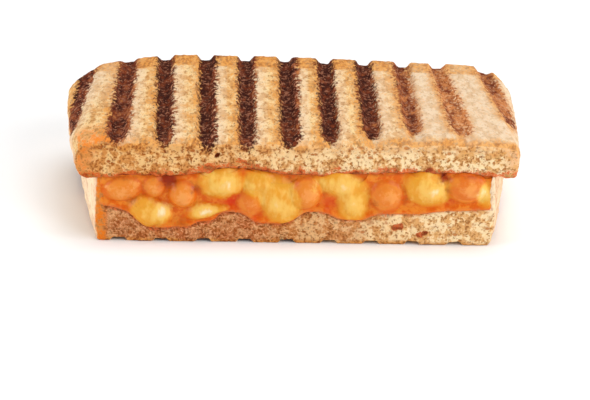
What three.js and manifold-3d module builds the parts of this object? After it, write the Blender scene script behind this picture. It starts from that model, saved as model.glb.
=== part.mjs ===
// Half of a grilled beans and cheese toastie, lying flat, with its cut face towards -Y.
// Millimetres, +Z up. The origin is the middle of the underside, on the surface it rests on.
// Two pressed slices of bread hold a bed of baked beans in sauce and a layer of melted cheese.
import * as THREE from "three";
import { mergeVertices } from "three/addons/utils/BufferGeometryUtils.js";
import Module from "manifold-3d";

// The gap kept between two pieces that touch, and what the bed of beans keeps beyond it
const gap = 0.3;
const slack = 0.25;

// The facets round and along each bean and lump
const eggSides = 12;
const eggRings = 8;

// The grill's ridges press straight grooves, front to back, into both outer faces. On top they grow
// shallow towards the cut: cutShare of the depth is left there, and all of it a length of fade behind it.
const grill = {
  pitch: 11.6,
  middle: -1.9,
  floorHalf: 1.4,
  wall: 1.2,
  topDepth: 1.7,
  underDepth: 1.0,
  cutShare: 0.4,
  fade: 9,
};

// Facets meet along lines from front to back: at each edge of a groove's floor and walls and in the
// middle of each ridge, given from the groove's middle. The lower slice has more, on its ridges.
const grooveEdge = grill.floorHalf + grill.wall;
const ridgeMiddle = grill.pitch / 2;
const ridgeLine = (grooveEdge + ridgeMiddle) / 2;
const grooveLines = [-grooveEdge, -grill.floorHalf, grill.floorHalf, grooveEdge, ridgeMiddle];

// How far in from each end of a slice its own lines lie
const endLines = [0, 0.7, 2.2, 4.2];

// Each slice is narrowest at the cut and flares towards the back, where its corners are round.
// A corner's drop is how far the back edge comes forward at the slice's end, and its turn is how
// late it does so. Rows are the shares of the depth where facets meet.
const topBread = {
  endLeft: -58.1,
  endRight: 60.2,
  flareLeft: 4.7,
  flareRight: 2.7,
  frontY: -31,
  backY: 31.8,
  cornerLeft: 11.5,
  cornerRight: 12,
  turnLeft: 18,
  turnRight: 28,
  thickness: 11,
  cutEdge: 1.6,
  crustEdge: 3.6,
  bulgeLeft: 1.9,
  bulgeRight: 0.9,
  bulgeBack: 0.9,
  lines: grooveLines,
  rows: [0, 0.025, 0.14, 0.34, 0.56, 0.78, 0.9, 0.96, 1],
  levels: 4,
};
const bottomBread = {
  endLeft: -54.1,
  endRight: 54.6,
  flareLeft: 7.0,
  flareRight: 6.8,
  frontY: -30.6,
  backY: 31,
  cornerLeft: 10.5,
  cornerRight: 11,
  turnLeft: 18,
  turnRight: 28,
  thickness: 19,
  cutEdge: 0.9,
  crustEdge: 2.4,
  bulgeLeft: 0.5,
  bulgeRight: 0.5,
  bulgeBack: 0.5,
  lines: [...grooveLines, -ridgeLine, ridgeLine],
  rows: [0, 0.015, 0.12, 0.34, 0.6, 0.8, 0.89, 0.95, 1],
  levels: 4,
};

// The pressed edge of the lower slice stands up round the filling and meets the upper slice, apart
// from what it keeps clear of it
const rim = { top: 0.7, slope: 1.5, backTop: 3.0, backSlope: 4.0, clear: 0.8 };

// The upper slice's top: its height, the dome at its back left, which fades out between two places
// along X, the slump of its back left corner, where grooves are shallow too, the rise at its front
// right, up to its reach, and the droop at its ends, which is whole at its reach
const crownShape = {
  height: 30.4,
  dome: 1.5,
  domeFrom: -10,
  domeTo: 50,
  slump: 2.1,
  slumpFrom: -32,
  slumpTo: -54,
  slumpGroove: 0.7,
  lift: 0.9,
  liftReach: 60,
  droop: 3.0,
  droopReach: 65,
};

// Both faces inside rise from left to right: the rise is what they gain over this length
const riseLength = 60;

// The upper slice's underside: its height and rise, how far it is pushed up inside, how far that
// reaches from the middle, and how far it comes down at the ends, a length away from the middle
const ceilingShape = { height: 20.4, rise: 0.9, inside: 0.9, insideReach: 45, edges: 0.7, edgesAt: 58 };
const ceilingHills = [
  { x: -16, reach: 9.5, height: 2.2 },
  { x: 36, reach: 22, height: 0.9 },
];

// The lower slice's inner face: its height, its rise and its unevenness, and the hills at its ends
const hollowShape = { height: 10.2, rise: 0.8, wave: 0.35 };
const hollowHills = [
  { x: -55, reach: 7, height: 2.4 },
  { x: 56, reach: 12, height: 0.9 },
];

// The cheese's thickness: at its thinnest, added inside the food, and its unevenness.
// The bed of beans is never thinner than bedLeast.
const cheeseShape = { least: 1.3, inside: 3.4, wave: 0.5 };
const bedLeast = 1.6;

// How far behind the cut the shapes seen there reach, of the underside, the folds and the sags
const cutReach = { ceiling: 14, folds: 8, sags: 7 };

// The bed and the cheese stop short of the raised edge. The bed's face lies behind the cut, so that
// beans and folds of cheese stand out of it. Both are round at the back by backCorner, and the
// bed swells out by bedSwell.
const filling = {
  endGap: 2.1,
  backGap: 7.6,
  backCorner: 6,
  frontY: -29.9,
  edge: 1.0,
  thickness: 4,
  bedSwell: 0.2,
  cells: [54, 5, 3],
};

// Where melted cheese hangs at the cut: its middle along X, how far it reaches to each side,
// how deep it hangs below the upper slice and how far it swells out of the cut
const cheeseFolds = [
  { x: -20.6, reach: 6.3, depth: 7.7, swell: 2.2 },
  { x: -9.4, reach: 6.0, depth: 5.3, swell: 1.0 },
  { x: -3.6, reach: 4.2, depth: 9.8, swell: 2.0 },
  { x: 12.6, reach: 6.0, depth: 3.3, swell: 1.4 },
  { x: 16.2, reach: 3.6, depth: 8.2, swell: 1.6 },
  { x: 35.7, reach: 5.3, depth: 7.1, swell: 2.2 },
  { x: 52.2, reach: 1.6, depth: 6.5, swell: 0.6 },
];

// Where the filling sags into the lower slice at the cut: middle, reach to each side and depth
const sags = [
  { x: -36.3, reach: 7.5, depth: 5.2 },
  { x: -25.8, reach: 5.0, depth: 3.2 },
  { x: -6.0, reach: 7.2, depth: 3.8 },
  { x: 15.7, reach: 6.0, depth: 2.5 },
  { x: 30.0, reach: 7.5, depth: 0.8 },
];

// The beans that show at the cut: centre, half length, half height, half depth and the length's tilt
const beans = [
  { x: -47.1, y: -28.9, z: 16.0, long: 4.8, high: 3.1, deep: 3.4, tilt: 14 },
  { x: -38.7, y: -28.8, z: 16.7, long: 3.0, high: 3.0, deep: 3.1, tilt: 0 },
  { x: -30.8, y: -29.0, z: 14.7, long: 3.7, high: 3.9, deep: 3.8, tilt: 10 },
  { x: -12.0, y: -29.2, z: 12.4, long: 3.6, high: 4.2, deep: 3.3, tilt: 0 },
  { x: 3.5, y: -29.0, z: 15.9, long: 4.0, high: 4.3, deep: 3.9, tilt: -12 },
  { x: 25.2, y: -28.9, z: 14.9, long: 4.3, high: 4.4, deep: 3.5, tilt: 16 },
  { x: 46.8, y: -29.0, z: 17.6, long: 5.1, high: 4.2, deep: 4.0, tilt: -4 },
];

// Two lumps of cheese that have sunk to the lower edge of the cut
const cheeseLumps = [
  { name: "cheese_lump_left", x: -39.6, y: -29.6, z: 9.2, long: 5.5, high: 4.2, deep: 3.1, tilt: -12 },
  { name: "cheese_lump_middle", x: -24.1, y: -29.8, z: 9.8, long: 6.0, high: 2.5, deep: 2.9, tilt: 11 },
];

const crustColour = 0xe3b47a;
const crumbColour = 0xe8c793;
const sauceColour = 0xd9772b;
const cheeseColour = 0xf4c35c;

const mix = (a, b, share) => a + (b - a) * share;
const clamp01 = (v) => THREE.MathUtils.clamp(v, 0, 1);
const hill = (v, middle, reach) => Math.exp(-(((v - middle) / reach) ** 2));
const tableHill = (v, middle, reach) => Math.exp(-(((v - middle) / reach) ** 4));
const ramp = (start, end, v) => THREE.MathUtils.smoothstep(v, start, end);

// 1 on the floor of a groove, 0 on the ridge between two grooves
function grooveShare(x) {
  const turns = (x - grill.middle) / grill.pitch;
  const off = Math.abs(turns - Math.round(turns)) * grill.pitch;
  return 1 - ramp(grill.floorHalf, grill.floorHalf + grill.wall, off);
}

// 1 at the cut, fading out towards the back
const nearCut = (y, reach) => hill(y, topBread.frontY, reach);

// How far back on the upper slice a place is, and how far into its slumped back left corner
const backShare = (y) => (y - topBread.frontY) / (topBread.backY - topBread.frontY);
const slumpShare = (x, y) => backShare(y) * ramp(-crownShape.slumpFrom, -crownShape.slumpTo, -x);

// The upper slice's top, at the height of its ridges
function crown(x, y) {
  const back = backShare(y);
  const dome = crownShape.dome * back * (1 - ramp(crownShape.domeFrom, crownShape.domeTo, x));
  const slump = crownShape.slump * slumpShare(x, y);
  const lift = crownShape.lift * (1 - back) * ramp(0, crownShape.liftReach, x);
  const droop = crownShape.droop * (Math.abs(x) / crownShape.droopReach) ** 10;
  return crownShape.height + dome + lift - droop - slump;
}

// How deep the grooves in the upper slice's top are
function topGroove(x, y) {
  const whole = ramp(topBread.frontY, topBread.frontY + grill.fade, y);
  const slumped = 1 - crownShape.slumpGroove * slumpShare(x, y);
  return grill.topDepth * mix(grill.cutShare, 1, whole) * slumped * grooveShare(x);
}

const sumOfHills = (hills, x) => hills.reduce((sum, h) => sum + h.height * hill(x, h.x, h.reach), 0);

// The upper slice's underside, pushed up where cheese and beans lie thickest
function ceiling(x, y) {
  const atCut = sumOfHills(ceilingHills, x);
  const inside = ceilingShape.inside * hill(x, 0, ceilingShape.insideReach);
  const edges = ceilingShape.edges * (Math.abs(x) / ceilingShape.edgesAt) ** 6;
  const level = ceilingShape.height + (ceilingShape.rise * x) / riseLength;
  return level + mix(inside, atCut, nearCut(y, cutReach.ceiling)) - edges;
}

// The lower slice's inner face, away from its raised edge
function hollow(x, y) {
  const wave = hollowShape.wave * Math.sin(0.19 * x + 1.1) * Math.sin(0.16 * (y - topBread.frontY));
  const sag = sags.reduce((sum, s) => sum + s.depth * tableHill(x, s.x, s.reach), 0);
  const level = hollowShape.height + (hollowShape.rise * x) / riseLength + sumOfHills(hollowHills, x);
  return level + wave - sag * nearCut(y, cutReach.sags);
}

// Where beans end and cheese begins
function seam(x, y) {
  const hang = cheeseFolds.reduce((sum, f) => sum + f.depth * tableHill(x, f.x, f.reach), 0);
  const inside = cheeseShape.inside + cheeseShape.wave * Math.sin(0.23 * x) * Math.sin(0.2 * y + 0.6);
  const cheese = cheeseShape.least + mix(inside, hang, nearCut(y, cutReach.folds));
  return Math.max(ceiling(x, y) - cheese, hollow(x, y) + bedLeast);
}

// Evenly spaced lines from -1 to 1
const evenLines = (cells) => Array.from({ length: cells + 1 }, (_, i) => (2 * i) / cells - 1);

// A grid on a box with rounded edges, with its facets' lines along each axis given from -1 to 1.
// radiusAt gives the rounding from the share of the depth.
// The caller places each point from its shares of width, depth and height, -1..1, 0..1 and 0..1.
function roundedGrid(size, lines, radiusAt, place) {
  const box = new THREE.BoxGeometry(2, 2, 2, ...lines.map((axis) => axis.length - 1));
  box.deleteAttribute("normal");
  box.deleteAttribute("uv");
  const geometry = mergeVertices(box);
  const spots = geometry.getAttribute("position");
  const half = new THREE.Vector3(...size).multiplyScalar(0.5);
  const point = new THREE.Vector3();
  const core = new THREE.Vector3();
  for (let i = 0; i < spots.count; i++) {
    const even = [spots.getX(i), spots.getY(i), spots.getZ(i)];
    const moved = even.map((v, axis) => lines[axis][Math.round(((v + 1) / 2) * (lines[axis].length - 1))]);
    point.set(...moved).multiply(half);
    const radius = radiusAt((point.y / half.y + 1) / 2);
    const inner = half.clone().subScalar(radius);
    core.copy(point).clamp(inner.clone().negate(), inner);
    point.sub(core).setLength(radius).add(core).divide(half);
    spots.setXYZ(i, ...place(point.x, (point.y + 1) / 2, (point.z + 1) / 2));
  }
  return geometry;
}

const sliceWidth = (bread) => bread.endRight - bread.endLeft;
const sliceDepth = (bread) => bread.backY - bread.frontY;

// The outline of a slice seen from above: the ends flare and the back corners are round
function breadPlan(bread, across, deep) {
  const flare = across < 0 ? -bread.flareLeft : bread.flareRight;
  const corner = across < 0 ? bread.cornerLeft : bread.cornerRight;
  const turn = across < 0 ? bread.turnLeft : bread.turnRight;
  const y = mix(bread.frontY, bread.backY - corner * Math.abs(across) ** turn, deep);
  const straight = mix(bread.endLeft, bread.endRight, (across + 1) / 2);
  return [straight + flare * Math.sin((deep * Math.PI) / 2) * Math.abs(across) ** 9, y];
}

// The lines across a slice, from -1 to 1: those of each groove, placed where the plan puts them half
// way back, and a few at each end
function linesAcross(bread) {
  const half = sliceWidth(bread) / 2;
  const middle = bread.endLeft + half;
  const last = 1 - (endLines.at(-1) + endLines[1]) / half;
  const shares = endLines.flatMap((inset) => [inset / half - 1, 1 - inset / half]);
  const grooves = Math.ceil(half / grill.pitch);
  for (let k = -grooves; k <= grooves; k++) {
    for (const offset of bread.lines) {
      const x = grill.middle + k * grill.pitch + offset;
      const share = (x - middle) / half;
      const flared = breadPlan(bread, THREE.MathUtils.clamp(share, -1, 1), 0.5)[0];
      const placed = share - (flared - x) / half;
      if (Math.abs(placed) < last) {
        shares.push(placed);
      }
    }
  }
  return shares.sort((a, b) => a - b);
}

// Shallow unevenness of the torn crumb at the cut
const crumb = (x, z) => 0.22 * Math.sin(1.7 * x + 0.9 * z) * Math.cos(1.3 * z - 0.6 * x);

// A slice between two surfaces, low and high, whose ends and back bulge a little
function slice(bread, low, high) {
  const size = [sliceWidth(bread), sliceDepth(bread), bread.thickness];
  const lines = [linesAcross(bread), bread.rows.map((share) => 2 * share - 1), evenLines(bread.levels)];
  const radiusAt = (deep) => mix(bread.cutEdge, bread.crustEdge, ramp(0.02, 0.4, deep));
  return roundedGrid(size, lines, radiusAt, (across, deep, up) => {
    const [x, y] = breadPlan(bread, across, deep);
    const z = mix(low(x, y, across, deep), high(x, y, across, deep), up);
    const belly = 1 - (2 * up - 1) ** 2;
    const endBulge = across < 0 ? -bread.bulgeLeft : bread.bulgeRight;
    const rough = crumb(x, z) * (1 - ramp(0, 0.03, deep));
    return [
      x + endBulge * belly * Math.abs(across) ** 20,
      y + bread.bulgeBack * belly * deep ** 12 + rough,
      z,
    ];
  });
}

// A slice with its cut face moved forward by grow
const grown = (bread, grow) => ({ ...bread, frontY: bread.frontY - grow });

// The upper slice, made larger by grow at the cut and on its underside
function topSlice(grow = 0) {
  const low = (x, y) => ceiling(x, y) - grow;
  return slice(grown(topBread, grow), low, (x, y) => crown(x, y) - topGroove(x, y));
}

// How much of the raised edge's height the lower slice has, from the distance to its end and back walls
function rimShare(bread, across, deep, grow) {
  const fromEnd = ((1 - Math.abs(across)) * sliceWidth(bread)) / 2 - grow;
  const fromBack = (1 - deep) * sliceDepth(bread) - grow;
  const end = 1 - ramp(rim.top, rim.top + rim.slope, fromEnd);
  const back = 1 - ramp(rim.backTop, rim.backTop + rim.backSlope, fromBack);
  return Math.max(end, back);
}

// The lower slice, made larger by grow at the cut and on its inner side
function bottomSlice(grow = 0) {
  const bread = grown(bottomBread, grow);
  const low = (x) => grill.underDepth * grooveShare(x);
  const rimTop = (x, y) => ceiling(x, y) - rim.clear;
  const high = (x, y, across, deep) =>
    mix(hollow(x, y), rimTop(x, y), rimShare(bread, across, deep, grow)) + grow;
  return slice(bread, low, high);
}

// A layer of the filling between two surfaces, standing out of the cut by swell
function fillingLayer(low, high, swell) {
  const left = bottomBread.endLeft + filling.endGap;
  const right = bottomBread.endRight - filling.endGap;
  const back = bottomBread.backY - filling.backGap;
  const size = [right - left, back - filling.frontY, filling.thickness];
  return roundedGrid(size, filling.cells.map(evenLines), () => filling.edge, (across, deep, up) => {
    const x = mix(left, right, (across + 1) / 2);
    const planY = mix(filling.frontY, back - filling.backCorner * Math.abs(across) ** 8, deep);
    const rounded = Math.sin(Math.PI * clamp01(0.15 + 0.75 * up));
    return [x, planY - swell(x) * rounded * (1 - deep) ** 6, mix(low(x, planY), high(x, planY), up)];
  });
}

// The layer of cheese, made larger by grow on every side that meets the beans
function cheeseLayer(grow = 0) {
  const swell = (x) => cheeseFolds.reduce((sum, f) => sum + f.swell * tableHill(x, f.x, f.reach), grow);
  return fillingLayer(
    (x, y) => seam(x, y) + gap / 2 - grow,
    (x, y) => ceiling(x, y) - gap + grow,
    swell,
  );
}

function beanBed() {
  return fillingLayer(
    (x, y) => hollow(x, y) + gap + slack,
    (x, y) => seam(x, y) - gap / 2 - slack,
    () => filling.bedSwell,
  );
}

// An egg shape: a ball drawn out to three half sizes and tilted in the plane of the cut
function egg(lump, grow = 0) {
  const ball = new THREE.SphereGeometry(1, eggSides, eggRings);
  ball.scale(lump.long + grow, lump.deep + grow, lump.high + grow);
  ball.rotateY(THREE.MathUtils.degToRad(-lump.tilt));
  ball.translate(lump.x, lump.y, lump.z);
  return ball;
}

const wasm = await Module();
wasm.setup();

function toSolid(geometry) {
  const bare = geometry.clone();
  bare.deleteAttribute("normal");
  bare.deleteAttribute("uv");
  const merged = mergeVertices(bare, 1e-4);
  const vertProperties = merged.getAttribute("position").array;
  const triVerts = new Uint32Array(merged.index.array);
  return new wasm.Manifold(new wasm.Mesh({ numProp: 3, vertProperties, triVerts }));
}

function toGeometry(solid) {
  const mesh = solid.getMesh();
  const geometry = new THREE.BufferGeometry();
  geometry.setAttribute("position", new THREE.BufferAttribute(mesh.vertProperties, 3));
  geometry.setIndex(new THREE.BufferAttribute(mesh.triVerts, 1));
  return geometry;
}

// What is left of a solid when room for the cheese layer and both slices is cut out of it.
// Cutting can leave crumbs that hang on nothing, so only the largest body is kept.
const neighbours = [cheeseLayer(gap), bottomSlice(gap), topSlice(gap)].map(toSolid);
function cutClear(solid) {
  const rest = neighbours.reduce((left, neighbour) => left.subtract(neighbour), solid);
  return rest.decompose().reduce((best, body) => (body.volume() > best.volume() ? body : best));
}

// The bed of sauce with the beans that show fused on, and sockets for the two lumps of cheese
function beanFilling() {
  let solid = toSolid(beanBed());
  for (const bean of beans) {
    solid = solid.add(toSolid(egg(bean)));
  }
  for (const lump of cheeseLumps) {
    solid = solid.subtract(toSolid(egg(lump, gap)));
  }
  return toGeometry(cutClear(solid));
}

function piece(name, geometry, color, roughness) {
  geometry.computeVertexNormals();
  const mesh = new THREE.Mesh(geometry, new THREE.MeshStandardMaterial({ color, roughness, metalness: 0 }));
  mesh.name = name;
  return mesh;
}

const toastie = new THREE.Group();
toastie.add(piece("bottom_slice", bottomSlice(), crumbColour, 0.9));
toastie.add(piece("bean_filling", beanFilling(), sauceColour, 0.4));
toastie.add(piece("cheese_layer", cheeseLayer(), cheeseColour, 0.35));
for (const lump of cheeseLumps) {
  const solid = cutClear(toSolid(egg(lump)));
  toastie.add(piece(lump.name, toGeometry(solid), cheeseColour, 0.35));
}
toastie.add(piece("top_slice", topSlice(), crustColour, 0.85));

export default toastie;
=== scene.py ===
import math

import bpy
import numpy as np
from mathutils import Matrix, Vector


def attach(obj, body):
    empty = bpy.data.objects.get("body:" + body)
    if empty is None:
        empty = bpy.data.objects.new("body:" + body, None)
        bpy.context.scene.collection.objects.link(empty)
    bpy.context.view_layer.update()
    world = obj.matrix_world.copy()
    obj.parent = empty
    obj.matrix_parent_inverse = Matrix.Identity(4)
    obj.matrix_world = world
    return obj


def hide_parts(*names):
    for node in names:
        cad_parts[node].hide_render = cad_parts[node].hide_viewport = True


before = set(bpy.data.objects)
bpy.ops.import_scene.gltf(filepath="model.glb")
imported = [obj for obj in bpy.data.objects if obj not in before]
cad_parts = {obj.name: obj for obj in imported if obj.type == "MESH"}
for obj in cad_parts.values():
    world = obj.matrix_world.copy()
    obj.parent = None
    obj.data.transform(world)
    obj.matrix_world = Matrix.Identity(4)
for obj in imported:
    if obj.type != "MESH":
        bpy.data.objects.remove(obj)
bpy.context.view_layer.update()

# Half of a grilled beans and cheese toastie, with its cut face towards -Y.
# Every shape is worked out in millimetres and scaled once, when its mesh is made.
mm = 0.001


# Short sums that the shapes share

def mix(a, b, share):
    # from a to b in a straight line
    return a + (b - a) * share


def held(value):
    # no less than 0 and no more than 1
    return np.clip(value, 0.0, 1.0)


def ramp(start, end, value):
    # 0 at start, 1 at end, and an S-curve between; start may be the larger one
    t = held((value - start) / (end - start))
    return t * t * (3.0 - 2.0 * t)


def hill(value, middle, reach, power=2):
    # a bell round the middle; a higher power gives it a flatter top
    return np.exp(-((value - middle) / reach) ** power)


def place(x, y, z):
    # points from their coordinates, any of which may be a single number
    return np.stack(np.broadcast_arrays(x, y, z), axis=-1)


def rows(names, table):
    # one dictionary for each row of a table, under the names of its columns
    return [dict(zip(names.split(), row)) for row in table]


# Noise by fixed sums, the same in each run

primes = (73856093, 19349663, 83492791, 2654435761, 1274126177)


def cornerValue(cell, seed):
    # a fixed number from 0 to 1 for each corner of a lattice, by mixing its whole-number coordinates
    mixed = cell[..., 0] * primes[0] ^ cell[..., 1] * primes[1] ^ cell[..., 2] * primes[2] ^ seed * primes[3]
    mixed = (mixed ^ (mixed >> 13)) * primes[4]
    mixed = mixed ^ (mixed >> 16)
    return (mixed & 0xFFFF) / 65535.0


def valueNoise(points, size, seed):
    # corner values of a lattice of that cell size, blended smoothly inside each cell; 0 to 1
    scaled = points / size
    cell = np.floor(scaled).astype(np.int64)
    t = scaled - cell
    t = t * t * (3.0 - 2.0 * t)
    total = np.zeros(len(points))
    for corner in np.ndindex(2, 2, 2):
        weight = np.prod(np.where(np.array(corner) == 1, t, 1.0 - t), axis=1)
        total += weight * cornerValue(cell + np.array(corner), seed)
    return total


def noise(points, size, seed, layers):
    # value noise plus the same at half the size and half the strength, and so on; about -1 to 1
    total = np.zeros(len(points))
    reach = 0.0
    for layer in range(layers):
        strength = 0.5 ** layer
        total += strength * (2.0 * valueNoise(points, size * strength, seed + layer) - 1.0)
        reach += strength
    return total / reach


def pits(points, spacing, least, most, seed, share):
    # round hollows, one in each cell of a lattice at a random place and of a random radius between
    # least and most; 0 outside them and up to 1 at a middle. Only that share of the cells has one.
    cell = np.floor(points / spacing).astype(np.int64)
    depth = np.zeros(len(points))
    for step in np.ndindex(3, 3, 3):
        near = cell + (np.array(step) - 1)
        middle = [(near[:, axis] + cornerValue(near, seed + axis)) * spacing for axis in range(3)]
        radius = mix(least, most, cornerValue(near, seed + 3))
        away = np.sqrt(sum((points[:, axis] - middle[axis]) ** 2 for axis in range(3)))
        there = cornerValue(near, seed + 4) < share
        depth = np.maximum(depth, np.where(there, held(1.0 - (away / radius) ** 2), 0.0))
    return depth


# Meshes: a closed surface is its points, quads and triangles

def spots(count, crowding=0.0):
    # from -1 to 1 in that many steps, crowded towards both ends
    t = np.linspace(0.0, 1.0, count + 1)
    return 2.0 * (t - crowding * np.sin(2.0 * np.pi * t) / (2.0 * np.pi)) - 1.0


def boxSurface(aSpots, bSpots, cSpots, ringShares):
    # The surface of a box from -1 to 1 as one closed mesh. The near face, at c = 1, is a full grid.
    # The walls carry its border down through cSpots, and the far face is that border again,
    # shrinking by ringShares to a middle point.
    a, b = np.meshgrid(aSpots, bSpots, indexing="ij")
    near = place(a, b, 1.0).reshape(-1, 3)
    index = np.arange(len(near)).reshape(a.shape)
    border = np.concatenate([index[:-1, 0], index[-1, :-1], index[:0:-1, -1], index[0, :0:-1]])
    edge = near[border] * (1.0, 1.0, 0.0)
    walls = [edge + (0.0, 0.0, c) for c in cSpots[1:]]
    floors = [edge * share + (0.0, 0.0, -1.0) for share in ringShares]
    points = np.concatenate([near] + walls + floors + [np.array([[0.0, 0.0, -1.0]])])
    loops = len(near) + np.arange((len(walls) + len(floors)) * len(border)).reshape(-1, len(border))
    rings = np.concatenate([border[None], loops])
    beside = np.roll(rings, -1, axis=1)
    sides = np.stack([rings[:-1], rings[1:], beside[1:], beside[:-1]], axis=-1).reshape(-1, 4)
    top = np.stack([index[:-1, :-1], index[1:, :-1], index[1:, 1:], index[:-1, 1:]], axis=-1).reshape(-1, 4)
    fan = place(rings[-1], len(points) - 1, beside[-1])
    return points, np.concatenate([top, sides]), fan


def ballSurface(sides, steps):
    # a unit ball: rings from pole to pole along X, closed at both poles
    turn = np.arange(sides) * 2.0 * np.pi / sides
    fall = np.linspace(0.0, np.pi, steps + 1)[1:-1]
    fallGrid, turnGrid = np.meshgrid(fall, turn, indexing="ij")
    rings = place(np.cos(fallGrid), np.sin(fallGrid) * np.cos(turnGrid), np.sin(fallGrid) * np.sin(turnGrid))
    points = np.concatenate([rings.reshape(-1, 3), [[1.0, 0.0, 0.0], [-1.0, 0.0, 0.0]]])
    index = np.arange((steps - 1) * sides).reshape(steps - 1, sides)
    beside = np.roll(index, -1, axis=1)
    quads = np.stack([index[:-1], index[1:], beside[1:], beside[:-1]], axis=-1).reshape(-1, 4)
    head = place(index[0], beside[0], len(points) - 2)
    tail = place(beside[-1], index[-1], len(points) - 1)
    return points, quads, np.concatenate([head, tail])


def joined(surfaces):
    # several closed surfaces as one
    starts = np.cumsum([0] + [len(points) for points, quads, triangles in surfaces])
    parts = [
        (points, quads + start, triangles + start)
        for (points, quads, triangles), start in zip(surfaces, starts)
    ]
    return tuple(np.concatenate(kind) for kind in zip(*parts))


def facingOut(points, quads, triangles):
    # turned inside out where the sum of the small pyramids from the origin to each face is negative
    faces = np.concatenate([quads[:, [0, 1, 2]], quads[:, [0, 2, 3]], triangles])
    a, b, c = (points[faces[:, k]] for k in range(3))
    if np.einsum("ij,ij->i", a, np.cross(b, c)).sum() < 0.0:
        return points, quads[:, ::-1], triangles[:, ::-1]
    return points, quads, triangles


def outward(points, quads, triangles):
    # each point's outward direction: the sum of its faces' area vectors, at unit length. A face's area
    # vector is the cross product of its diagonals, or of two of a triangle's sides.
    total = np.zeros_like(points)
    for faces in (quads, triangles):
        corners = [points[corner] for corner in faces.T]
        area = np.cross(corners[2] - corners[0], corners[-1] - corners[1])
        for corner in faces.T:
            for axis in range(3):
                total[:, axis] += np.bincount(corner, area[:, axis], len(points))
    return total / np.maximum(np.linalg.norm(total, axis=1, keepdims=True), 1e-12)


def linked(name, data):
    # a new object in the scene
    made = bpy.data.objects.new(name, data)
    bpy.context.scene.collection.objects.link(made)
    return made


def makePiece(name, surface, finish, node, fields):
    # puts a closed surface into a smooth mesh, with one number per point for each field
    points, quads, triangles = surface
    mesh = bpy.data.meshes.new(name)
    corners = np.concatenate([quads.ravel(), triangles.ravel()]).astype(np.int32)
    counts = np.repeat([4, 3], [len(quads), len(triangles)])
    mesh.vertices.add(len(points))
    mesh.vertices.foreach_set("co", (points * mm).astype(np.float32).ravel())
    mesh.loops.add(len(corners))
    mesh.loops.foreach_set("vertex_index", corners)
    mesh.polygons.add(len(counts))
    mesh.polygons.foreach_set("loop_start", (np.cumsum(counts) - counts).astype(np.int32))
    mesh.update(calc_edges=True)
    mesh.polygons.foreach_set("use_smooth", np.ones(len(counts), bool))
    for field, values in fields.items():
        attribute = mesh.attributes.new(field, "FLOAT", "POINT")
        attribute.data.foreach_set("value", np.asarray(values, np.float32))
    piece = linked(name, mesh)
    mesh.materials.append(finish)
    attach(piece, "root")
    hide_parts(node)
    print(f"{name}: {len(quads) * 2 + len(triangles)} triangles")


# Shader maths as Python sums

class Wire:
    # an output socket of a node; a sum with it adds the Math node that does the sum
    def __init__(self, paint, socket):
        self.paint = paint
        self.socket = socket

    def sum(self, operation, first, second):
        return self.paint.node("ShaderNodeMath", {"operation": operation}, {0: first, 1: second})

    def __add__(self, other):
        return self.sum("ADD", self, other)

    def __sub__(self, other):
        return self.sum("SUBTRACT", self, other)

    def __rsub__(self, other):
        return self.sum("SUBTRACT", other, self)

    def __mul__(self, other):
        return self.sum("MULTIPLY", self, other)

    def most(self, other):
        # the larger of the two
        return self.sum("MAXIMUM", self, other)

    __radd__ = __add__
    __rmul__ = __mul__


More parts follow.
